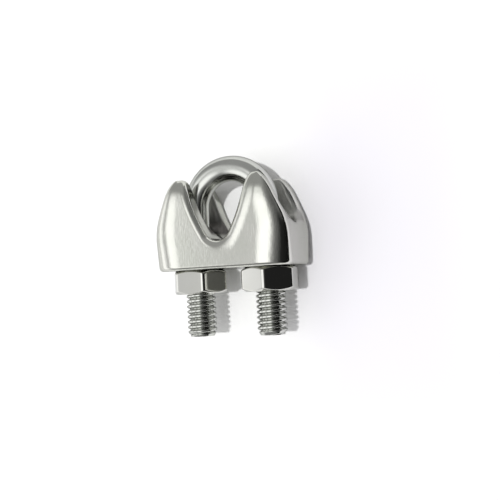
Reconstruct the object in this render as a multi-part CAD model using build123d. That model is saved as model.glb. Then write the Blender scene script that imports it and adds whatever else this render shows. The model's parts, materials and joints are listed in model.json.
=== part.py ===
from build123d import *
import os
from math import acos, atan2, cos, degrees, hypot, radians, sin

# Wire rope grip for rope of 3 to 4 mm, lying on its back, all lengths in millimetres.
# A cast saddle with four horns carries the rope, a threaded U-bolt straddles it, and two nuts clamp them.
# X runs along the saddle, Y runs up the legs towards the bow, and Z points up out of the front face.
# Each piece is drawn with the nut seat at Y = 0 and the U-bolt in the plane Z = 0, then moved to the frame's
# origin, which is on the floor under the middle of the whole grip.

# U-bolt, bent from round bar, with both legs thread rolled
bar_d = 3.45
thread_d = 4.0
leg_spacing = 10.4
bow_top = 15.35
leg_reach = 9.0
thread_length = 14.0
runout_length = 0.6
leg_end_chamfer = 0.6

# Nuts, hexagon with both faces chamfered
nut_flats = 6.9
nut_height = 3.2
nut_chamfer_angle = 30
nut_bearing_d = 6.5
nut_mouth_flare = 0.2
thread_fit = 0.05
left_nut_turn = 1.7
right_nut_turn = -23.3

# Saddle, its outside
saddle_length = 19.2
saddle_depth = 11.0
saddle_height = 12.1
foot_height = 3.6
end_bend_r = 9.0
tip_length = 13.3
corner_r = 2.6
foot_round = 0.6

# Saddle, the groove that the rope lies in, from front to back
seat_floor = 3.7
seat_r = 1.8
seat_edge_angle = 30
groove_mouth = 8.5
rim_round = 1.1
tip_round = 1.4
# Both rounds stay below these shares of the horn's width at its top
rim_limit_share = 0.47
tip_limit_share = 0.6

# Saddle, the valley along it that the bow sinks into, wider and higher at its ends, and the leg holes
valley_end_floor = 6.0
valley_end_width = 6.4
valley_middle_floor = 4.9
valley_middle_width = 4.8
valley_chamfer = 0.4
leg_play = 0.25

# How far a cutting shape runs past the wall that it cuts, and how close an edge lies to count as in a plane
overrun = 1.0
tolerance = 0.01

half_length = saddle_length / 2
half_depth = saddle_depth / 2
half_valley = valley_end_width / 2
leg_x = leg_spacing / 2
leg_hole_r = thread_d / 2 + leg_play
bow_centre = bow_top - bar_d / 2 - leg_x
tip_x = tip_length / 2
horn_width = tip_x - groove_mouth / 2


def upright(y, shape):
    """A flat shape laid across the legs at height y, with its own y along Z."""
    return Plane(origin=(0, y, 0), x_dir=(1, 0, 0), z_dir=(0, 1, 0)) * shape


def in_plane(edge, axis, *offsets):
    """Whether an edge lies wholly in one of the planes at those offsets along X, Y or Z."""
    box = edge.bounding_box()
    low, high = getattr(box.min, axis), getattr(box.max, axis)
    return any(abs(low - offset) < tolerance and abs(high - offset) < tolerance for offset in offsets)


def saddle_blank():
    """The saddle's outside: its ends rise straight, bend inwards and slope up to the tips."""
    # The bend stops where the straight slope down from the tip touches its circle
    across, above = tip_x - half_length + end_bend_r, saddle_height - foot_height
    lean = atan2(above, across) - acos(end_bend_r / hypot(across, above))
    bend_x = half_length - end_bend_r * (1 - cos(lean))
    bend_top = foot_height + end_bend_r * sin(lean)
    outline = Curve()
    for side in (-1, 1):
        foot_end, bend_end = (side * half_length, foot_height), (side * bend_x, bend_top)
        outline += Polyline((0, 0), (side * half_length, 0), foot_end)
        outline += TangentArc(foot_end, bend_end, tangent=(0, 1))
        outline += Polyline(bend_end, (side * tip_x, saddle_height), (0, saddle_height))
    block = extrude(make_face(outline), half_depth, both=True)
    corners = [edge for edge in block.edges() if in_plane(edge, "Z", half_depth, -half_depth)
               and not in_plane(edge, "Y", 0, saddle_height)]
    block = block.fillet(corner_r, corners)
    tips = [edge for edge in block.edges() if in_plane(edge, "Y", saddle_height)]
    return block.fillet(min(tip_round, horn_width * tip_limit_share), tips)


def rope_groove():
    """The cutting shape of the rope groove: a round seat whose sides rise ever steeper to the tips."""
    slope = radians(seat_edge_angle)
    edge_x, edge_y = seat_r * cos(slope), seat_floor + seat_r * (1 - sin(slope))
    mouth_x, top = groove_mouth / 2, saddle_height + overrun
    outline = Curve()
    outline += ThreePointArc((-edge_x, edge_y), (0, seat_floor), (edge_x, edge_y))
    outline += TangentArc((edge_x, edge_y), (mouth_x, saddle_height), tangent=(sin(slope), cos(slope)))
    outline += Polyline((mouth_x, saddle_height), (mouth_x, top), (-mouth_x, top), (-mouth_x, saddle_height))
    outline += TangentArc((-edge_x, edge_y), (-mouth_x, saddle_height), tangent=(-sin(slope), cos(slope)))
    return extrude(make_face(outline), half_depth + overrun, both=True)


def bow_valley():
    """The cutting shape of the valley along the saddle, a U that widens and rises towards both ends."""
    half_width = valley_middle_width / 2
    middle_centre, end_centre = valley_middle_floor + half_width, valley_end_floor + half_valley
    rise = end_centre - middle_centre
    lift, run = atan2(rise, half_length), hypot(rise, half_length)
    left, right, top = -half_width, half_width, saddle_height
    outline = Polyline((left, 0), (left, top), (right, top), (right, 0))
    outline += ThreePointArc((right, 0), (0, -half_width), (left, 0))
    middle = Plane(origin=(0, middle_centre, 0), x_dir=(0, 0, -1), z_dir=(cos(lift), sin(lift), 0))
    spread = degrees(atan2(half_valley - half_width, run))
    half = extrude(middle * make_face(outline), run + overrun, taper=-spread)
    return half + mirror(half, Plane.YZ)


def leg_holes():
    """The cutting shape of the two holes that the legs pass down through."""
    holes = Pos(leg_x, 0) * Circle(leg_hole_r) + Pos(-leg_x, 0) * Circle(leg_hole_r)
    return extrude(upright(-overrun, holes), saddle_height)


def groove_rims(body):
    """The edges round the mouth of the rope groove, from the front face over the tips to the back face."""
    rims = []
    for edge in body.edges():
        box = edge.bounding_box()
        in_width = max(-box.min.X, box.max.X) < groove_mouth / 2 + tolerance
        above_floor = box.min.Y > seat_floor - tolerance
        seat_side = edge.geom_type == GeomType.LINE and box.max.Y < saddle_height / 2
        if in_width and above_floor and not seat_side:
            rims.append(edge)
    return rims


def valley_rims(body):
    """The edges where the valley's walls come out on the horns and in the rope groove."""
    rims = []
    for edge in body.edges():
        box = edge.bounding_box()
        above_floor = box.min.Y > valley_middle_floor - tolerance
        hole_mouth = min(abs(box.min.X - leg_x + leg_hole_r), abs(box.max.X + leg_x - leg_hole_r)) < tolerance
        in_width = max(-box.min.Z, box.max.Z) < half_valley + tolerance
        if in_width and above_floor and not hole_mouth:
            rims.append(edge)
    return rims


def make_saddle():
    """The cast saddle: foot, four horns, rope groove, bow valley and leg holes, with every rim softened."""
    body = (saddle_blank() - rope_groove()).solid()
    body = body.fillet(min(rim_round, horn_width * rim_limit_share), groove_rims(body))
    body = (body - bow_valley() - leg_holes()).solid()
    body = body.chamfer(valley_chamfer, None, valley_rims(body))
    foot_rims = [edge for edge in body.edges() if in_plane(edge, "Y", 0)
                  and not (edge.geom_type == GeomType.CIRCLE and edge.radius == leg_hole_r)]
    return body.fillet(foot_round, foot_rims)


def make_u_bolt():
    """The U-bolt: a half-round bow on two legs, each with a rolled thread and a chamfered end."""
    bar_r, thread_r = bar_d / 2, thread_d / 2
    thread_top = thread_length - leg_reach
    path = Line((-leg_x, thread_top), (-leg_x, bow_centre))
    path += ThreePointArc((-leg_x, bow_centre), (0, bow_centre + leg_x), (leg_x, bow_centre))
    path += Line((leg_x, bow_centre), (leg_x, thread_top))
    bolt = sweep(upright(thread_top, Pos(-leg_x, 0) * Circle(bar_r)), path)
    for side in (-1, 1):
        leg = Polyline(
            (0, -leg_reach),
            (thread_r - leg_end_chamfer, -leg_reach),
            (thread_r, -leg_reach + leg_end_chamfer),
            (thread_r, thread_top - runout_length),
            (bar_r, thread_top),
            (0, thread_top),
            close=True,
        )
        bolt += Pos(side * leg_x, 0, 0) * revolve(make_face(leg), Axis.Y)
    return bolt.solid()


def make_nut(side, turn):
    """A hexagon nut against the saddle's foot, with turned-down corners and a bore opened at both ends."""
    hexagon = RegularPolygon(nut_flats / 2, 6, major_radius=False)
    blank = extrude(hexagon, nut_height)
    corner_r_out = nut_flats / 2 / cos(radians(nut_chamfer_angle)) + overrun
    bearing_r = nut_bearing_d / 2
    drop = (corner_r_out - bearing_r) * sin(radians(nut_chamfer_angle)) / cos(radians(nut_chamfer_angle))
    bore_r = thread_d / 2 + thread_fit
    mouth_r = bore_r + nut_mouth_flare
    turned = Polyline(
        (mouth_r, 0),
        (bearing_r, 0),
        (corner_r_out, drop),
        (corner_r_out, nut_height - drop),
        (bearing_r, nut_height),
        (mouth_r, nut_height),
        (bore_r, nut_height - nut_mouth_flare),
        (bore_r, nut_mouth_flare),
        close=True,
    )
    nut = blank & revolve(make_face(Plane.XZ * turned), Axis.Z)
    # The nut is drawn on end, then laid along the leg below the foot and turned to where it stopped
    laid = Rot(90, 0, 0) * Rot(0, 0, turn) * nut
    return (Pos(side * leg_x, 0, 0) * laid).solid()


pieces = {
    "saddle": make_saddle(),
    "u_bolt": make_u_bolt(),
    "nut_left": make_nut(-1, left_nut_turn),
    "nut_right": make_nut(1, right_nut_turn),
}

# The frame's origin is on the floor under the middle of the grip's box
to_origin = Pos(0, -(bow_top - leg_reach) / 2, half_depth)
os.makedirs("parts", exist_ok=True)
for name, piece in pieces.items():
    export_step(to_origin * piece, f"parts/{name}.step")
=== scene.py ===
# %% [markdown]
# # A wire rope grip in polished stainless steel
# A wire rope grip clamps two strands of steel rope together. It has four pieces: a cast saddle that the
# rope lies in, a U-bolt bent from round bar with a rolled thread on each leg, and two hexagon nuts.
# This notebook dresses the grip as it lies on its back on a pale floor, seen from almost straight above.
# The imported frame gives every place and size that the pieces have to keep, so it is loaded first.

# %% Load the frame
import json
from math import cos, pi, radians, sin

import bmesh
import bpy
import numpy as np
from mathutils import Matrix, Vector


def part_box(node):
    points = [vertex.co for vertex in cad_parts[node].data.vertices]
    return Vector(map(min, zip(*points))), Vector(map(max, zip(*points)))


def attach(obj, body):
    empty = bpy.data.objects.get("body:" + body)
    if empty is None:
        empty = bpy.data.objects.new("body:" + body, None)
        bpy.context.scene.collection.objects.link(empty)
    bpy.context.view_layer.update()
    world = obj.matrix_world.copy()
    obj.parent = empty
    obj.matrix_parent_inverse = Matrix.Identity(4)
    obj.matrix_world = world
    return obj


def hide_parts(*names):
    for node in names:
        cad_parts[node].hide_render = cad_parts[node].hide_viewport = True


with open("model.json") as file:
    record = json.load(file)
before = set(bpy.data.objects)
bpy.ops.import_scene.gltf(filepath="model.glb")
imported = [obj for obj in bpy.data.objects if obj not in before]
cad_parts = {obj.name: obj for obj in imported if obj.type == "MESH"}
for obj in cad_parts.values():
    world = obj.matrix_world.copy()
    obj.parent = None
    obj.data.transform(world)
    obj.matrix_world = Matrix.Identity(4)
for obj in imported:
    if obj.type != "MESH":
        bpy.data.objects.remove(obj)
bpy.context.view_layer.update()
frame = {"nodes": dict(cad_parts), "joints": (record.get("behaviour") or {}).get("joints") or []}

MM = 0.001

# %% [markdown]
# ## Places taken from the frame
# Two planes and two axes tie all four pieces together: the seat that the nuts press on, the plane that the
# U-bolt lies in, and the axes of its legs. The joints of the nuts hold the axes, and the foot of the saddle
# is the seat. The U-bolt is thickest at its thread, so its box gives the size of the thread.

# %% Seat and leg axes
nut_joints = {joint["child"]: joint for joint in frame["joints"] if joint["type"] == "hinge"}
leg_axes = {side: Vector(nut_joints[f"nut_{side}"]["pos_m"]) for side in ("left", "right")}
seat_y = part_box("saddle")[0].y
bolt_z = leg_axes["left"].z
leg_x = leg_axes["right"].x
bolt_low, bolt_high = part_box("u_bolt")
thread_r = (bolt_high.z - bolt_low.z) / 2
print("legs at x", round(leg_x / MM, 2), "mm, thread radius", round(thread_r / MM, 3), "mm")

# %% [markdown]
# ## The camera
# The photograph looks almost straight down, from a little to the right. The camera's place and turn were
# worked out from the straight edges of the saddle, nuts and legs, so they are stated as sizes and angles
# and not adjusted by eye.

# %% Camera at the photograph's angle
camera_from_seat = Vector((40.55, -1.95, 87.87)) * MM
camera_yaw, camera_pitch, camera_roll = radians(23.41), radians(2.57), radians(-2.99)
focal_share_of_width = 714.03 / 500
nearest, furthest = 1 * MM, 10

back = Vector((sin(camera_yaw) * cos(camera_pitch), -sin(camera_pitch), cos(camera_yaw) * cos(camera_pitch)))
level = Vector((cos(camera_yaw), 0, -sin(camera_yaw)))
over = back.cross(level)
right = cos(camera_roll) * level + sin(camera_roll) * over
up = cos(camera_roll) * over - sin(camera_roll) * level

camera = bpy.data.objects.new("camera", bpy.data.cameras.new("camera"))
bpy.context.scene.collection.objects.link(camera)
camera.data.sensor_width = 36
camera.data.lens = camera.data.sensor_width * focal_share_of_width
camera.data.clip_start, camera.data.clip_end = nearest, furthest
place = Matrix((right, up, back)).transposed().to_4x4()
place.translation = camera_from_seat + Vector((0, seat_y, bolt_z))
camera.matrix_world = place
bpy.context.scene.camera = camera
print("camera lens", round(camera.data.lens, 2), "mm at", [round(c / MM, 1) for c in place.translation])

# %% [markdown]
# ## Writing node maths as Python
# Both materials and Geometry Nodes are graphs of small nodes. Wiring them one by one hides the formula, so
# a small class wraps a socket and turns each Python operator into a Math node. One method makes any other
# node.


# %% A graph helper
class Graph:
    """A node tree that adds nodes from their type, settings and inputs."""

    def __init__(self, tree):
        self.tree = tree

    def node(self, kind, settings=None, inputs=None, output=0):
        """Adds a node, sets it up, feeds its inputs by name or number, and wraps one output."""
        made = self.tree.nodes.new(kind)
        for key, value in (settings or {}).items():
            if key == "stops":
                ramp = made.color_ramp
                while len(ramp.elements) < len(value):
                    ramp.elements.new(1.0)
                for element, (position, colour) in zip(ramp.elements, value):
                    element.position, element.color = position, (*colour, 1)
            else:
                setattr(made, key, value)
        for key, value in (inputs or {}).items():
            if isinstance(value, Value):
                self.tree.links.new(value.socket, made.inputs[key])
            elif value is not None:
                made.inputs[key].default_value = value
        return Value(self, made.outputs[output])

    def maths(self, operation, *values):
        return self.node("ShaderNodeMath", {"operation": operation}, dict(enumerate(values)))

    def smooth_step(self, value, low, high):
        """0 below low, 1 above high and a smooth rise between."""
        settings = {"interpolation_type": "SMOOTHSTEP"}
        return self.node("ShaderNodeMapRange", settings, {0: value, 1: low, 2: high, 3: 0.0, 4: 1.0})

    def mix(self, factor, first, second):
        """A colour between two colours."""
        inputs = {0: factor, 6: first, 7: second}
        return self.node("ShaderNodeMix", {"data_type": "RGBA"}, inputs, output=2)

    def noise(self, place, size, detail):
        """Noise whose largest cells have about that size."""
        inputs = {"Vector": place, "Scale": 1 / size, "Detail": detail}
        return self.node("ShaderNodeTexNoise", inputs=inputs)


# %% A wrapped socket
class Value:
    """A socket that takes part in arithmetic."""

    def __init__(self, graph, socket):
        self.graph, self.socket = graph, socket

    def __add__(self, other):
        return self.graph.maths("ADD", self, other)

    def __radd__(self, other):
        return self.graph.maths("ADD", other, self)

    def __sub__(self, other):
        return self.graph.maths("SUBTRACT", self, other)

    def __rsub__(self, other):
        return self.graph.maths("SUBTRACT", other, self)

    def __mul__(self, other):
        return self.graph.maths("MULTIPLY", self, other)

    def __rmul__(self, other):
        return self.graph.maths("MULTIPLY", other, self)

    def __truediv__(self, other):
        return self.graph.maths("DIVIDE", self, other)

    def __rtruediv__(self, other):
        return self.graph.maths("DIVIDE", other, self)

    def __neg__(self):
        return self.graph.maths("MULTIPLY", self, -1.0)

    def least(self, other):
        return self.graph.maths("MINIMUM", self, other)

    def most(self, other):
        return self.graph.maths("MAXIMUM", self, other)

    def between(self, low, high):
        return self.most(low).least(high)

    def parts(self):
        """The three parts of a vector."""
        split = self.graph.tree.nodes.new("ShaderNodeSeparateXYZ")
        self.graph.tree.links.new(self.socket, split.inputs[0])
        return [Value(self.graph, socket) for socket in split.outputs]


# %% [markdown]
# ## The finishes
# All four pieces are the same bright stainless steel, but each was made another way and shows it. The
# casting was tumbled and polished, so it keeps a faint pebble and short upright scratches. The bar was drawn
# and bent, which leaves it satin, and the nuts were machined, which leaves them brightest. A metal's colour
# sits in its Base Color, and the difference between the finishes is mostly roughness and bump, so one
# function makes all three from a few numbers.

# %% One function for the steel finishes
cloud_size, cloud_edges = 6 * MM, (0.35, 0.65)
scratch_stretch_share = 0.12


def steel(name, colour, shade, roughness, roughness_change, pebble, pebble_size, streak, streak_size,
          edge_share, hollows=None):
    """A polished steel whose tone, roughness and surface vary a little, and that is duller in its hollows,
    where painted shade also darkens it.
    """
    material = bpy.data.materials.new(name)
    material.use_nodes = True
    graph = Graph(material.node_tree)
    shader = next(node for node in graph.tree.nodes if node.type == "BSDF_PRINCIPLED")
    place = graph.node("ShaderNodeTexCoord", output=3)
    # Round noise for the pebble, noise drawn out along Y for scratches, and broad noise for the tone
    stretch = (1.0, scratch_stretch_share, 1.0)
    along = graph.node("ShaderNodeMapping", inputs={"Vector": place, "Scale": stretch})
    grains = graph.noise(place, pebble_size, detail=2.0)
    streaks = graph.noise(along, streak_size, detail=3.0)
    clouds = graph.noise(place, cloud_size, detail=2.0)
    tone = graph.mix(graph.smooth_step(clouds, *cloud_edges), (*colour, 1), (*shade, 1))
    height = grains * pebble + streaks * streak
    bump = graph.node("ShaderNodeBump", inputs={"Strength": 1.0, "Distance": 1.0, "Height": height})
    rough = roughness + (clouds - 0.5) * roughness_change + (streaks - 0.5) * roughness_change
    if hollows:
        # In the hollows the colour turns a dull grey, partly the unpolished casting and partly painted shade,
        # and near black as painted shade in the depth
        inside, painted_shade_mask = hollows(graph, place)
        tone = graph.mix(inside, tone, graph.mix(painted_shade_mask, (*dull_and_shade_colour, 1), (*painted_shade_colour, 1)))
        rough = rough + inside * dull_roughness
    graph.tree.links.new(tone.socket, shader.inputs["Base Color"])
    graph.tree.links.new(rough.socket, shader.inputs["Roughness"])
    graph.tree.links.new(bump.socket, shader.inputs["Normal"])
    shader.inputs["Metallic"].default_value = 1.0
    # Steel reflects a little less just before grazing, which gives it its dark outlines
    shader.inputs["Specular Tint"].default_value = (edge_share, edge_share, edge_share, 1)
    return material


# %% [markdown]
# ## Where the casting stays dull and shade is painted
# Polishing reaches the outside of the saddle but hardly the valley that the bow sinks into. The valley keeps
# more of the grey of the casting, and its colour is also darkened there as painted shade, most of all between
# the legs. It could have a material of its own, but that would end in a hard line. Here a mask in Object
# coordinates follows the valley's own sizes, so the polish and the painted shade fade out over its rims.

# %% The mask of the valley, in millimetres from the seat and the bolt's plane
# A dull grey that is partly the unpolished casting and partly painted shade, and a near black that is painted
# shade between the legs
dull_and_shade_colour, painted_shade_colour, dull_roughness = (0.38, 0.38, 0.36), (0.12, 0.115, 0.11), 0.26
half_length = 9.6
valley_floor_ends = (4.4, 6.0)
dull_above_floor, dull_across = (-0.5, 0.3), (2.9, 3.6)
painted_shade_beside, painted_shade_height = (5.0, 7.0), (6.0, 10.0)


def valley_hollow(graph, place):
    """1 on the walls and floor of the valley and 0 outside, and the same for the painted shade in its depth
    between the legs.
    """
    x, y, z = place.parts()
    beside = graph.maths("ABSOLUTE", x) / MM
    height = (y - seat_y) / MM
    across = graph.maths("ABSOLUTE", z - bolt_z) / MM
    floor = valley_floor_ends[0] + (valley_floor_ends[1] - valley_floor_ends[0]) * (beside / half_length)
    above_floor = graph.smooth_step(height - floor, *dull_above_floor)
    inside = above_floor * (1.0 - graph.smooth_step(across, *dull_across))
    # Painted shade: near black deep in the valley between the legs
    painted_shade_mask = (1.0 - graph.smooth_step(beside, *painted_shade_beside)) * (1.0 - graph.smooth_step(height, *painted_shade_height))
    return inside, painted_shade_mask


# %% The three finishes
cast_steel = steel("cast_steel", (0.67, 0.67, 0.63), (0.62, 0.63, 0.58), 0.12, 0.08,
                   pebble=9.0e-6, pebble_size=0.5 * MM, streak=5.5e-6, streak_size=0.15 * MM,
                   edge_share=0.55, hollows=valley_hollow)
drawn_steel = steel("drawn_steel", (0.63, 0.64, 0.61), (0.58, 0.59, 0.56), 0.15, 0.08,
                    pebble=1.5e-6, pebble_size=0.5 * MM, streak=0.4e-6, streak_size=0.1 * MM,
                    edge_share=0.35)
nut_steel = steel("nut_steel", (0.69, 0.69, 0.66), (0.66, 0.66, 0.62), 0.08, 0.05,
                  pebble=0.8e-6, pebble_size=0.6 * MM, streak=0.3e-6, streak_size=0.1 * MM,
                  edge_share=0.6)
print("finishes:", cast_steel.name, drawn_steel.name, nut_steel.name)

# %% [markdown]
# ## The U-bolt, by Geometry Nodes
# The U-bolt follows a path and its thread repeats, so its shape is a rule. A thread could be modelled as a
# spring-like ridge laid on a rod, but that leaves two surfaces cutting each other. Here each leg is one grid
# wrapped round the axis. The rows of the grid climb by one pitch in each turn, so that crests and roots lie
# along rows and stay sharp. The chamfer at the end and the run-out under the bow only limit the radius.

# %% Sizes of the bar and its thread
bar_r = 3.45 * MM / 2
pitch, thread_depth = 0.7 * MM, 0.45 * MM
crest_share, crest_power, crest_dome_share = 0.25, 1.4, 0.08
thread_length, runout = 14.0 * MM, 0.9 * MM
end_chamfer, chamfer_slope = 0.38 * MM, 0.55
bow_centre_y = bolt_high.y - bar_r - leg_x
print("bow centre", round((bow_centre_y - seat_y) / MM, 3), "mm above the seat")


# %% Helpers that build a Geometry Nodes tree
def node_tree(name, sizes):
    """A Geometry Nodes tree with an input for each size and for a material, and its wrapped inputs."""
    tree = bpy.data.node_groups.new(name, "GeometryNodeTree")
    for size in sizes:
        tree.interface.new_socket(size, in_out="INPUT", socket_type="NodeSocketFloat")
    tree.interface.new_socket("Material", in_out="INPUT", socket_type="NodeSocketMaterial")
    tree.interface.new_socket("Geometry", in_out="OUTPUT", socket_type="NodeSocketGeometry")
    graph = Graph(tree)
    start = tree.nodes.new("NodeGroupInput")
    return graph, {socket.name: Value(graph, socket) for socket in start.outputs if socket.name}


def wrapped_grid(graph, around, rows, formula):
    """A grid whose points go where the formula puts them, given the share of a turn and the row number."""
    sizes = {"Size X": 1.0, "Size Y": 1.0, "Vertices X": around + 1, "Vertices Y": rows}
    grid = graph.node("GeometryNodeMeshGrid", inputs=sizes)
    x, y, _ = graph.node("GeometryNodeInputPosition").parts()
    turn, row = x + 0.5, (y + 0.5) * (rows - 1)
    where = graph.node("ShaderNodeCombineXYZ", inputs=dict(enumerate(formula(turn, row))))
    return graph.node("GeometryNodeSetPosition", inputs={"Geometry": grid, "Position": where})


def finish_tree(graph, shapes, material, weld):
    """Joins and welds the shapes, and ends the tree in Realize Instances and Set Material."""
    joined = graph.tree.nodes.new("GeometryNodeJoinGeometry")
    for shape in shapes:
        graph.tree.links.new(shape.socket, joined.inputs[0])
    whole = Value(graph, joined.outputs[0])
    welded = graph.node("GeometryNodeMergeByDistance", inputs={0: whole, "Distance": weld})
    real = graph.node("GeometryNodeRealizeInstances", inputs={0: welded})
    dressed = graph.node("GeometryNodeSetMaterial", inputs={"Geometry": real, "Material": material})
    end = graph.tree.nodes.new("NodeGroupOutput")
    graph.tree.links.new(dressed.socket, end.inputs[0])


# %% Helpers that apply a tree and tidy a mesh
speck = 1e-5 * MM


def tidy_mesh(mesh):
    """Turns every face outwards and shades the mesh smooth."""
    shape = bmesh.new()
    shape.from_mesh(mesh)
    bmesh.ops.dissolve_degenerate(shape, edges=shape.edges, dist=speck)
    bmesh.ops.recalc_face_normals(shape, faces=shape.faces)
    shape.to_mesh(mesh)
    shape.free()
    mesh.shade_smooth()


def run_tree(name, graph, values, material):
    """Runs a tree on an empty mesh and returns the result as a plain mesh object."""
    carrier = bpy.data.objects.new(name, bpy.data.meshes.new(name))
    bpy.context.scene.collection.objects.link(carrier)
    modifier = carrier.modifiers.new("shape", "NODES")
    modifier.node_group = graph.tree
    for socket in graph.tree.interface.items_tree:
        if socket.in_out == "INPUT":
            modifier[socket.identifier] = material if socket.name == "Material" else values[socket.name]
    depsgraph = bpy.context.evaluated_depsgraph_get()
    mesh = bpy.data.meshes.new_from_object(carrier.evaluated_get(depsgraph))
    carrier.modifiers.remove(modifier)
    carrier.data = mesh
    tidy_mesh(mesh)
    return carrier


# %% The tree of the U-bolt and its inputs
around, rows_a_turn, bow_rows = 96, 14, 121
leg_rows = round(thread_length / pitch * rows_a_turn) + rows_a_turn + 3
end_ring_share = 0.93
weld = 0.0002 * MM
bolt_sizes = {
    "Leg X": leg_x, "Plane Z": bolt_z, "End Y": bolt_low.y, "Bow Y": bow_centre_y,
    "Thread Radius": thread_r, "Bar Radius": bar_r, "Pitch": pitch, "Depth": thread_depth,
    "Thread Length": thread_length, "Runout": runout, "Chamfer": end_chamfer,
}
graph, size = node_tree("u_bolt_shape", bolt_sizes)
print("rows on a leg:", leg_rows, "points round it:", around)


# %% The threaded legs
def thread_radius(graph, size, phase):
    """The radius of the thread at a phase, from a broad rolled crest to a sharp root."""
    away = graph.maths("ABSOLUTE", graph.maths("FRACT", phase) * 2.0 - 1.0)
    groove = graph.maths("POWER", ((away - crest_share) / (1.0 - crest_share)).most(0.0), crest_power)
    cut = (1.0 - crest_dome_share) * groove + crest_dome_share * away * away
    return size["Thread Radius"] - size["Depth"] * cut


def leg_formula(side):
    """The rule of one leg, with side -1 for the left one and 1 for the right one."""
    def formula(turn, row):
        climb = size["Pitch"] * ((row - 2.0) / rows_a_turn + turn - 1.0)
        height = climb.between(0.0, size["Thread Length"])
        threaded = thread_radius(graph, size, height / size["Pitch"] - turn)
        left = ((size["Thread Length"] - height) / size["Runout"]).between(0.0, 1.0)
        radius = size["Bar Radius"] + (threaded - size["Bar Radius"]) * left
        radius = radius.least(size["Thread Radius"] - size["Chamfer"] + height * chamfer_slope)
        # The first rows close the end with a flat face: a point, a ring just inside the rim, and the rim
        to_ring, to_rim = row.least(1.0), (row - 1.0).between(0.0, 1.0)
        radius = radius * (to_ring * end_ring_share + to_rim * (1.0 - end_ring_share))
        angle = turn * (2 * pi)
        # The right leg is the left one turned half round, so both threads stay right-hand
        x = side * (size["Leg X"] + radius * graph.maths("SINE", angle))
        z = size["Plane Z"] + side * radius * graph.maths("COSINE", angle)
        return x, size["End Y"] + height, z
    return formula


# %% The bow
def bow_formula(turn, row):
    """The rule of the bow: up the end of the left leg, half round, and down to the right leg."""
    straight = size["Bow Y"] - size["End Y"] - size["Thread Length"]
    along = (row / (bow_rows - 1)) * (2.0 * straight + pi * size["Leg X"])
    bend = ((along - straight) / size["Leg X"]).between(0.0, pi)
    below = (straight - along).most(0.0) + (along - straight - pi * size["Leg X"]).most(0.0)
    angle = turn * (2 * pi)
    reach = size["Leg X"] + size["Bar Radius"] * graph.maths("COSINE", angle)
    x = -reach * graph.maths("COSINE", bend)
    y = size["Bow Y"] - below + reach * graph.maths("SINE", bend)
    z = size["Plane Z"] + size["Bar Radius"] * graph.maths("SINE", angle)
    return x, y, z


shapes = [wrapped_grid(graph, around, leg_rows, leg_formula(side)) for side in (-1.0, 1.0)]
shapes.append(wrapped_grid(graph, around, bow_rows, bow_formula))
finish_tree(graph, shapes, size["Material"], weld)

# %% Run the tree, and let the result stand for the plain bolt
u_bolt = run_tree("u_bolt_threaded", graph, bolt_sizes, drawn_steel)
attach(u_bolt, "u_bolt")
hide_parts("u_bolt")
print("U-bolt faces:", len(u_bolt.data.polygons))

# %% [markdown]
# ## The nuts
# A hexagon nut is a hexagon bar whose corners are turned down to a cone at both ends. It could be cut from
# solids, but then its edges would be knife-sharp. Seen round its axis, its outside is one rule: at each
# angle and height the skin lies at the hexagon or at the cone, whichever is nearer. A power mean of the two
# rounds the line between them, as tumbling does. The bore carries the same thread as the leg, a little
# wider. The nut is small and closed on itself, so plain mesh code is enough.

# %% The rule of the nut
nut_low, nut_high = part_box("nut_left")
nut_height = nut_high.y - nut_low.y
across_flats = 6.9 * MM
bearing_r = 3.25 * MM
mouth_r = 2.25 * MM
bore_play = 0.04 * MM
corner_power, cone_power = 90, 110
cone_slope = 1 / np.tan(radians(30))
print("nut height", round(nut_height / MM, 2), "mm")


def hexagon_radius(angle):
    """Distance from the axis to a hexagon of unit half-width, with its corners a little rounded."""
    sides = np.stack([np.maximum(np.cos(angle - k * pi / 3), 1e-6) for k in range(6)])
    return (sides ** corner_power).sum(axis=0) ** (-1 / corner_power)


def screw_depth(phase):
    """Share of the thread's depth that is cut away at a phase, as on the legs."""
    away = np.abs((phase % 1) * 2 - 1)
    groove = np.maximum((away - crest_share) / (1 - crest_share), 0) ** crest_power
    return (1 - crest_dome_share) * groove + crest_dome_share * away ** 2


# %% A nut as rings of points
columns, outer_rows, bore_rows = 144, 60, 80
angle = np.arange(columns) / columns * 2 * pi


def outside_rings(first_flat):
    """Heights and radii up the outside, from the lower bearing face to the upper one."""
    hexagon = across_flats / 2 * hexagon_radius(angle - first_flat)
    for share in 0.5 - 0.5 * np.cos(np.linspace(0, pi, outer_rows)):
        height = share * nut_height
        cone = bearing_r + min(height, nut_height - height) * cone_slope
        yield height, (hexagon ** -cone_power + cone ** -float(cone_power)) ** (-1 / cone_power)


def bore_rings(on_right):
    """Heights and radii back down the bore, with the mouths opened at both ends."""
    # The thread starts at the front of the right leg and at the back of the left one
    start = pi / 2 if on_right else 3 * pi / 2
    for share in np.linspace(1, 0, bore_rows):
        height = share * nut_height
        phase = (nut_low.y + height - bolt_low.y) / pitch - (start - angle) / (2 * pi)
        threaded = thread_r + bore_play - thread_depth * screw_depth(phase)
        yield height, np.maximum(threaded, mouth_r - min(height, nut_height - height))


def nut_mesh(name, axis, first_flat):
    """A nut round an axis with one flat facing first_flat, an angle from +X towards +Z."""
    rings = [*outside_rings(first_flat), *bore_rings(axis.x > 0)]
    points = [(axis.x + r * cos(a), nut_low.y + height, axis.z + r * sin(a))
              for height, radii in rings for a, r in zip(angle, radii)]
    faces = []
    for ring in range(len(rings)):
        here, after = ring * columns, (ring + 1) % len(rings) * columns
        for column in range(columns):
            beside = (column + 1) % columns
            faces.append((here + column, here + beside, after + beside, after + column))
    mesh = bpy.data.meshes.new(name)
    mesh.from_pydata(points, [], faces)
    mesh.materials.append(nut_steel)
    tidy_mesh(mesh)
    nut = bpy.data.objects.new(name, mesh)
    bpy.context.scene.collection.objects.link(nut)
    return nut


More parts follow.
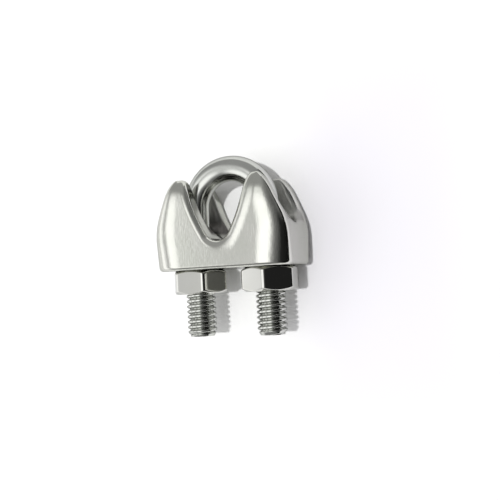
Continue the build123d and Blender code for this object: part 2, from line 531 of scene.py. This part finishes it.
# %% Both nuts, turned as the photograph shows them
first_flats = {"left": radians(87.7), "right": radians(51.5)}
for side, first_flat in first_flats.items():
    nut = nut_mesh(f"nut_{side}_threaded", leg_axes[side], first_flat)
    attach(nut, f"nut_{side}")
    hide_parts(f"nut_{side}")
    print(nut.name, "faces:", len(nut.data.polygons))

# %% [markdown]
# ## The saddle
# The saddle is a casting, so it has no sharp edge anywhere and its faces flow into each other. Subdivision
# modelling could give that, but its many crossing hollows would need a complicated cage. Instead the casting
# is written as a rule that says how far any point is from its skin. Each face of the saddle is one distance,
# and a rounded maximum joins two faces, which leaves a fillet of a known radius. Where the casting is drawn
# out more on one face than on the other, a quarter oval takes the place of the fillet.

# %% Two ways to round an edge
valley_fillet, foot_fillet, hole_fillet = 0.8, 0.6, 0.15


def rounded_most(fillet, *values):
    """The largest of some distances, with the edge where they meet rounded to a fillet."""
    stack = np.stack(values)
    past = np.maximum(stack + fillet, 0)
    return np.minimum(stack.max(axis=0), -fillet) + np.sqrt((past ** 2).sum(axis=0))


def oval_most(first, a, second, b):
    """The larger of two distances, their edge rounded to a quarter oval that reaches a and b into them."""
    p, q = np.maximum(first / a + 1, 0), np.maximum(second / b + 1, 0)
    length = np.sqrt(p * p + q * q) + 1e-9
    scale = (a * p * p + b * q * q) / (length * length)
    return np.where((p > 0) & (q > 0), (length - 1) * scale, np.maximum(first, second))


# %% [markdown]
# ### The outside of the casting
# The ends rise straight from the foot, bend inwards and slope up to the horns. The corners between ends and
# faces are broad at the foot and tight at the tips, and the faces of the horns lean back a little. All
# lengths are in millimetres from the seat and the bolt's plane.

# %% Ends and faces
half_depth, horn_top = 5.5, 12.1
bend_start, bend_radius, end_slope = 3.6, 9.0, radians(24)
corner_along_x, corner_along_z = (4.3, 1.0), (2.6, 0.6)
crown_start, crown_bend = 8.0, 0.03


def end_distance(x, y):
    """Distance outside the ends, which rise straight, bend inwards and then slope up to the horn tips."""
    turn = np.arcsin(np.clip((y - bend_start) / bend_radius, 0, sin(end_slope)))
    bent_to = bend_start + bend_radius * sin(end_slope)
    reach = half_length - bend_radius * (1 - np.cos(turn)) - np.maximum(y - bent_to, 0) * np.tan(end_slope)
    return (x - reach) * np.cos(turn)


def block_distance(x, y, z):
    """Distance outside the block: its ends and faces, with corners that tighten towards the top."""
    share = np.clip(y / horn_top, 0, 1)
    a = corner_along_x[0] + (corner_along_x[1] - corner_along_x[0]) * share ** 2
    b = corner_along_z[0] + (corner_along_z[1] - corner_along_z[0]) * share
    crown = crown_bend * np.maximum(y - crown_start, 0) ** 2
    return oval_most(end_distance(x, y), a, z - half_depth + crown, b)


# %% [markdown]
# ### The hollows of the casting
# The rope groove runs from front to back and the valley runs along the saddle, so the two cross and leave
# the four horns. Each is a depth: how far inside the hollow a point lies.

# %% Groove and valley
seat_centre_y, seat_radius, seat_edge = 5.5, 1.8, radians(30)
flank_bend = 0.0292
valley_half_ends = (2.4, 3.2)


def groove_depth(x, y):
    """Depth inside the rope groove: a round seat with sides that rise ever steeper."""
    edge_x, edge_y = seat_radius * cos(seat_edge), seat_centre_y - seat_radius * sin(seat_edge)
    rise = np.maximum(y - edge_y, 0)
    width = edge_x + np.tan(seat_edge) * (y - edge_y) - flank_bend * rise ** 2
    lean = np.tan(seat_edge) - 2 * flank_bend * rise
    flank = (width - x) / np.sqrt(1 + lean ** 2)
    seat = seat_radius - np.sqrt(x ** 2 + (y - seat_centre_y) ** 2)
    return np.where(y - seat_centre_y < -np.tan(seat_edge) * x, seat, flank)


def valley_depth(x, y, z):
    """Depth inside the valley that the bow sinks into, which widens and rises towards both ends."""
    share = np.clip(x / half_length, 0, 1)
    half = valley_half_ends[0] + (valley_half_ends[1] - valley_half_ends[0]) * share
    centre = valley_floor_ends[0] + (valley_floor_ends[1] - valley_floor_ends[0]) * share + half
    return half - np.sqrt(z ** 2 + np.minimum(y - centre, 0) ** 2)


# %% The whole rule
hole_radius = 2.25
rim_down_wall, rim_left, rim_right, rim_change = 0.9, 0.9, 2.2, 4.0
tip_across, tip_down = 0.85, 2.3


def casting_distance(points):
    """Distance from the skin of the casting, less than zero inside it."""
    x, y, z = np.abs(points[:, 0]), points[:, 1], np.abs(points[:, 2])
    hole = hole_radius - np.sqrt((x - leg_x / MM) ** 2 + z ** 2)
    # The rim of the groove looks broader on the right horns than on the left ones
    rightness = np.clip(0.5 + points[:, 0] / rim_change, 0, 1)
    rim = rim_left + (rim_right - rim_left) * rightness
    horns = oval_most(block_distance(x, y, z), rim_down_wall, groove_depth(x, y), rim)
    horns = oval_most(horns, tip_across, y - horn_top, tip_down)
    body = rounded_most(valley_fillet, horns, valley_depth(x, y, z))
    body = rounded_most(foot_fillet, body, -y)
    return rounded_most(hole_fillet, body, hole)


# %% [markdown]
# ### From the rule to a mesh
# A copy of the CAD casting is remeshed into even squares for its topology. Then its points are moved onto
# the skin of the rule and evened out, a few times in turn, and the last move leaves them on the skin.

# %% Helpers that remesh a copy and move its points
voxel = 0.115 * MM
newton_steps, probe, least_slope = 3, 1e-3, 0.2
merge_distance = 1e-3 * MM


def onto_skin(points):
    """Moves points along the gradient of the rule until they lie on its skin."""
    for _ in range(newton_steps):
        value = casting_distance(points)
        slope = np.stack([(casting_distance(points + step) - casting_distance(points - step)) / (2 * probe)
                          for step in np.eye(3) * probe], axis=1)
        points = points - slope * (value / np.maximum((slope ** 2).sum(axis=1), least_slope))[:, None]
    return points


def evened(points, ends, neighbours):
    """Moves each point halfway to the middle of its neighbours."""
    total = np.zeros_like(points)
    np.add.at(total, ends[:, 0], points[ends[:, 1]])
    np.add.at(total, ends[:, 1], points[ends[:, 0]])
    return 0.5 * points + 0.5 * total / neighbours


def remeshed_copy(node, name):
    """A merged copy of a CAD node's mesh as even squares."""
    copy = bpy.data.objects.new(name, frame["nodes"][node].data.copy())
    bpy.context.scene.collection.objects.link(copy)
    shape = bmesh.new()
    shape.from_mesh(copy.data)
    bmesh.ops.transform(shape, matrix=frame["nodes"][node].matrix_world, verts=shape.verts)
    bmesh.ops.remove_doubles(shape, verts=shape.verts, dist=merge_distance)
    shape.to_mesh(copy.data)
    shape.free()
    remesh = copy.modifiers.new("even squares", "REMESH")
    remesh.mode, remesh.voxel_size = "VOXEL", voxel
    depsgraph = bpy.context.evaluated_depsgraph_get()
    mesh = bpy.data.meshes.new_from_object(copy.evaluated_get(depsgraph))
    copy.modifiers.clear()
    copy.data = mesh
    return copy


# %% Remesh the casting and read its points and edges
settle_rounds = 4
saddle = remeshed_copy("saddle", "saddle_casting")
mesh = saddle.data
flat = np.empty(len(mesh.vertices) * 3)
mesh.vertices.foreach_get("co", flat)
origin = np.array((0, seat_y, bolt_z))
points = (flat.reshape(-1, 3) - origin) / MM
ends = np.empty(len(mesh.edges) * 2, dtype=int)
mesh.edges.foreach_get("vertices", ends)
ends = ends.reshape(-1, 2)
neighbours = np.bincount(ends.ravel(), minlength=len(points))[:, None]
print("points of the casting:", len(points))

# %% Settle the points on the skin, and let the result stand for the CAD casting
for _ in range(settle_rounds):
    points = evened(onto_skin(points), ends, neighbours)
points = onto_skin(points)
mesh.vertices.foreach_set("co", (points * MM + origin).ravel())
mesh.materials.clear()
mesh.materials.append(cast_steel)
tidy_mesh(mesh)
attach(saddle, "saddle")
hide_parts("saddle")
print("saddle faces:", len(mesh.polygons))
print("furthest point from the rule, mm:", round(float(abs(casting_distance(points)).max()), 4))

# %% [markdown]
# ## The floor
# The grip lies on a plain pale floor, which is white with a cool grey painted shadow to the right of the
# grip.
# A floor could be lit until it is white, but then the light would also wash out the steel. Its whiteness
# comes from its own colour instead. It is rough and has no gloss, so that it keeps only the shadow of the
# grip besides that painted one.

# %% A plain pale floor
# The cool grey is a painted shadow: a soft patch of shade on the floor to the right of the grip
white_floor, cool_painted_shadow = (0.93, 0.93, 0.925, 1), (0.86, 0.845, 0.885, 1)
painted_shadow_starts, painted_shadow_ends, painted_shadow_fades = (2 * MM, 14 * MM), (24 * MM, 42 * MM), (16 * MM, 44 * MM)
floor_half = 1.5


def floor_material():
    """A matt pale floor with a cool grey painted shadow to the right of the grip."""
    material = bpy.data.materials.new("pale_floor")
    material.use_nodes = True
    graph = Graph(material.node_tree)
    shader = next(node for node in graph.tree.nodes if node.type == "BSDF_PRINCIPLED")
    x, y, _ = graph.node("ShaderNodeTexCoord", output=3).parts()
    # Painted shadow: the floor turns cool grey to the right of the grip
    across = graph.smooth_step(x, *painted_shadow_starts) * (1.0 - graph.smooth_step(x, *painted_shadow_ends))
    painted_shadow_share = across * (1.0 - graph.smooth_step(graph.maths("ABSOLUTE", y), *painted_shadow_fades))
    tint = graph.mix(painted_shadow_share, white_floor, cool_painted_shadow)
    graph.tree.links.new(tint.socket, shader.inputs["Base Color"])
    shader.inputs["Roughness"].default_value = 0.9
    shader.inputs["Specular IOR Level"].default_value = 0.0
    return material


floor_corners = [(-floor_half, -floor_half, 0), (floor_half, -floor_half, 0),
                 (floor_half, floor_half, 0), (-floor_half, floor_half, 0)]
floor_mesh = bpy.data.meshes.new("floor")
floor_mesh.from_pydata(floor_corners, [], [(0, 1, 2, 3)])
floor_mesh.materials.append(floor_material())
floor = bpy.data.objects.new("floor", floor_mesh)
bpy.context.scene.collection.objects.link(floor)
print("floor", 2 * floor_half, "m wide")

# %% [markdown]
# ## The sky of the studio
# Metal this bright is a mirror, so its tones are those of the studio in the direction that each patch
# mirrors. The studio could be built from softboxes and flags, but one sky is easier to tune. Going from the
# right horizon over the top to the left, it has a black wall, a softbox just left of overhead, a grey gap, a
# second bank of light, another gap and a bright wall, all held by one colour ramp. Past the bow and past the
# legs this arch fades into plain grey, and a pale wall hides the lowest few degrees all round.

# %% The sky
brightest = 1.6
# Degrees up from the right horizon, and the light there
arch_levels = (
    (0, 0.01), (8, 0.01), (41, 0.02), (50, 0.08), (58, 0.15), (66, 0.22), (72, 0.46), (77, 0.85),
    (82, 1.6), (102, 1.6), (107, 1.3), (111, 0.82), (115, 0.7), (119, 0.95), (124, 1.5), (140, 1.6),
    (144, 1.2), (148, 0.6), (152, 0.68), (156, 1.0), (162, 1.5), (172, 1.5), (180, 1.0),
)
bow_edges, bow_grey, bow_right_share = (0.14, 0.6), 0.4, 0.5
leg_edges, leg_grey = (-0.8, -0.4), 0.25
right_edges = (0.2, 0.7)
wall_edges, wall_level = (0.07, 0.14), 0.9


def surroundings():
    """A studio sky that is dark on the right, with a softbox overhead and banks of light on the left."""
    world = bpy.data.worlds.new("studio")
    bpy.context.scene.world = world
    world.use_nodes = True
    graph = Graph(world.node_tree)
    background = next(node for node in graph.tree.nodes if node.type == "BACKGROUND")
    x, y, z = graph.node("ShaderNodeTexCoord", output=0).parts()
    stops = [(degrees_up / 180, (level / brightest,) * 3) for degrees_up, level in arch_levels]
    over = graph.maths("ARCTAN2", z, x) / pi
    arch = graph.node("ShaderNodeValToRGB", {"stops": stops}, {"Fac": over}) * brightest
    past_bow = graph.smooth_step(y, *bow_edges)
    past_legs = 1.0 - graph.smooth_step(y, *leg_edges)
    not_right = 1.0 - graph.smooth_step(x, *right_edges)
    grey_past_bow = bow_grey * past_bow * (1.0 - bow_right_share + bow_right_share * not_right)
    grey_past_legs = leg_grey * past_legs * not_right
    light = arch * ((1.0 - past_bow) * (1.0 - past_legs)) + grey_past_bow + grey_past_legs
    wall = 1.0 - graph.smooth_step(z, *wall_edges)
    background.inputs["Color"].default_value = (1.0, 1.0, 1.0, 1)
    graph.tree.links.new((light + (wall_level - light) * wall).socket, background.inputs["Strength"])


surroundings()
print("sky levels:", len(arch_levels), "the brightest", brightest)

# %% [markdown]
# ## The lamp
# The sky alone gives soft shadows only. One small lamp almost straight above draws the short, firm ones. As
# the camera stands to the right, they show along the right of each piece. The lamp isn't mirrored, because
# its spot would show on every bend.


# %% A small lamp above the grip
def lamp(name, direction, distance, width, power):
    """A round lamp that looks at the grip from a direction and isn't mirrored in it."""
    light = bpy.data.lights.new(name, "AREA")
    light.shape, light.size, light.energy = "DISK", width, power
    holder = bpy.data.objects.new(name, light)
    holder.location = Vector(direction).normalized() * distance
    holder.rotation_mode = "QUATERNION"
    holder.rotation_quaternion = Vector(direction).to_track_quat("Z", "Y")
    holder.visible_glossy = False
    bpy.context.scene.collection.objects.link(holder)


lamp("key", (0.05, 0.0, 1.0), distance=3.0, width=0.15, power=47.0)
bpy.context.scene.view_settings.view_transform = "Standard"

# %% [markdown]
# ## A black card
# The right flat of the left nut and the right corner of the saddle mirror what stands low on the right,
# which is nearly black in the photograph. The lowest few degrees of the sky are pale all round, so a black
# card stands on the floor just outside the picture, as in a photographer's studio.


# %% The card
def black_card(name, corners):
    """A black card that only mirrors see, as it stands outside the picture."""
    card_mesh = bpy.data.meshes.new(name)
    card_mesh.from_pydata(corners, [], [tuple(range(len(corners)))])
    material = bpy.data.materials.new(name)
    material.use_nodes = True
    shader = next(node for node in material.node_tree.nodes if node.type == "BSDF_PRINCIPLED")
    shader.inputs["Base Color"].default_value = (0.01, 0.01, 0.01, 1)
    shader.inputs["Roughness"].default_value = 1.0
    shader.inputs["Specular IOR Level"].default_value = 0.0
    card_mesh.materials.append(material)
    card = bpy.data.objects.new(name, card_mesh)
    card.visible_camera = card.visible_diffuse = card.visible_shadow = False
    bpy.context.scene.collection.objects.link(card)


card_x, card_top, card_half = 37 * MM, 14 * MM, 80 * MM
black_card("right_card", [(card_x, -card_half, 0), (card_x, card_half, 0),
                          (card_x, card_half, card_top), (card_x, -card_half, card_top)])
print("card at x", round(card_x / MM), "mm,", round(card_top / MM), "mm high")
